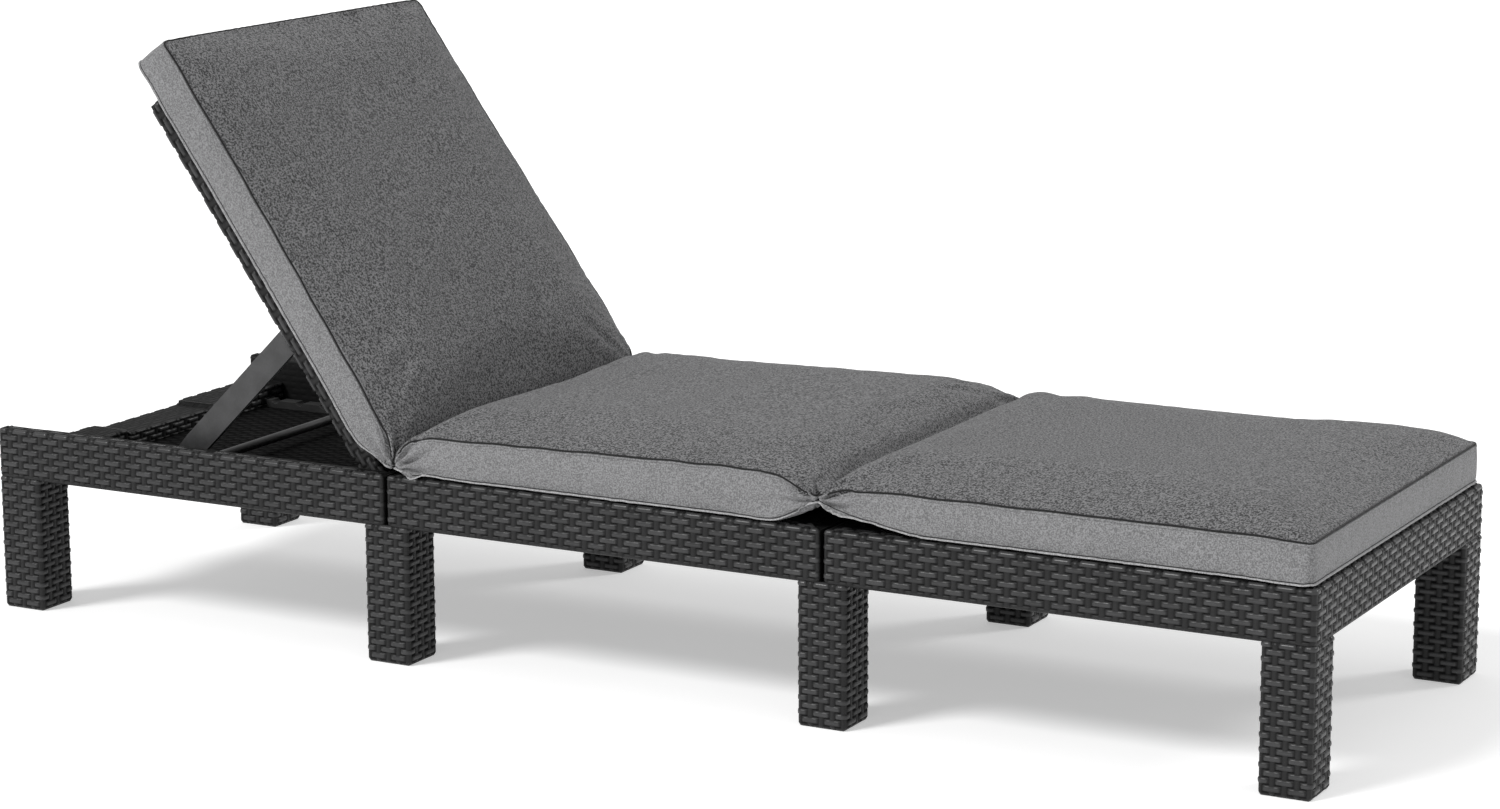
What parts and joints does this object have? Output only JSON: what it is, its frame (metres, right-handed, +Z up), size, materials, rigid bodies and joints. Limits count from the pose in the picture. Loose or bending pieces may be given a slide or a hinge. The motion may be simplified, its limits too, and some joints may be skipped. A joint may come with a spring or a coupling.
{
  "type": "reclining sun lounger",
  "caption": "Low woven-look resin sun lounger in three sections on square legs, with a backrest raised on a hinged prop and a padded cushion.",
  "frame": {"origin": "centre of the footprint, on the ground", "axes": "+X towards the foot end, +Y to the sitter's left, +Z up"},
  "size_m": [1.93, 0.62, 0.8075],
  "materials": {
    "resin": "satin, moulded weave texture",
    "prop_grey": "satin grey powder coat",
    "steel": "zinc plated",
    "nylon": "matt black nylon",
    "glide_rubber": "matt",
    "cushion_fabric": "grey melange woven polyester"
  },
  "bodies": {
    "frame": {"head_section": "resin", "seat_section": "resin", "foot_section": "resin", "leg_head_left": "resin", "leg_head_right": "resin", "leg_back_left": "resin", "leg_back_right": "resin", "leg_knee_left": "resin", "leg_knee_right": "resin", "leg_foot_left": "resin", "leg_foot_right": "resin", "leg_glides": "glide_rubber", "leg_screws": "steel", "section_bolts": "steel", "section_nuts": "steel", "section_spacers": "nylon", "prop_rack_left": "nylon", "prop_rack_right": "nylon", "rack_screws": "steel", "hinge_pin_left": "steel", "hinge_pin_right": "steel", "seat_cushion": "cushion_fabric", "foot_cushion": "cushion_fabric", "cushion_fold_front": "cushion_fabric", "cushion_fold_rear": "cushion_fabric"},
    "backrest": {"backrest_panel": "resin", "hinge_bush_left": "nylon", "hinge_bush_right": "nylon", "prop_bracket_left": "prop_grey", "prop_bracket_right": "prop_grey", "prop_pin_left": "steel", "prop_pin_right": "steel", "bracket_screws": "steel", "back_cushion": "cushion_fabric"},
    "prop": {"prop_arm_left": "prop_grey", "prop_arm_right": "prop_grey", "prop_cross_bar": "prop_grey", "cross_bar_caps": "nylon"}
  },
  "joints": [
    {"name": "backrest_hinge", "type": "hinge", "parent": "frame", "child": "backrest", "pos_m": [-0.3557, 0, 0.235], "axis": [0, 1, 0], "range_deg": [-55.1, 0]},
    {"name": "prop_pivot", "type": "hinge", "parent": "backrest", "child": "prop", "pos_m": [-0.50017, 0, 0.41587], "axis": [0, 1, 0], "range_deg": [0, 97.89]}
  ],
  "couplings": [
    {"joint": "prop_pivot", "follows": "backrest_hinge", "ratio": -1.7749}
  ]
}
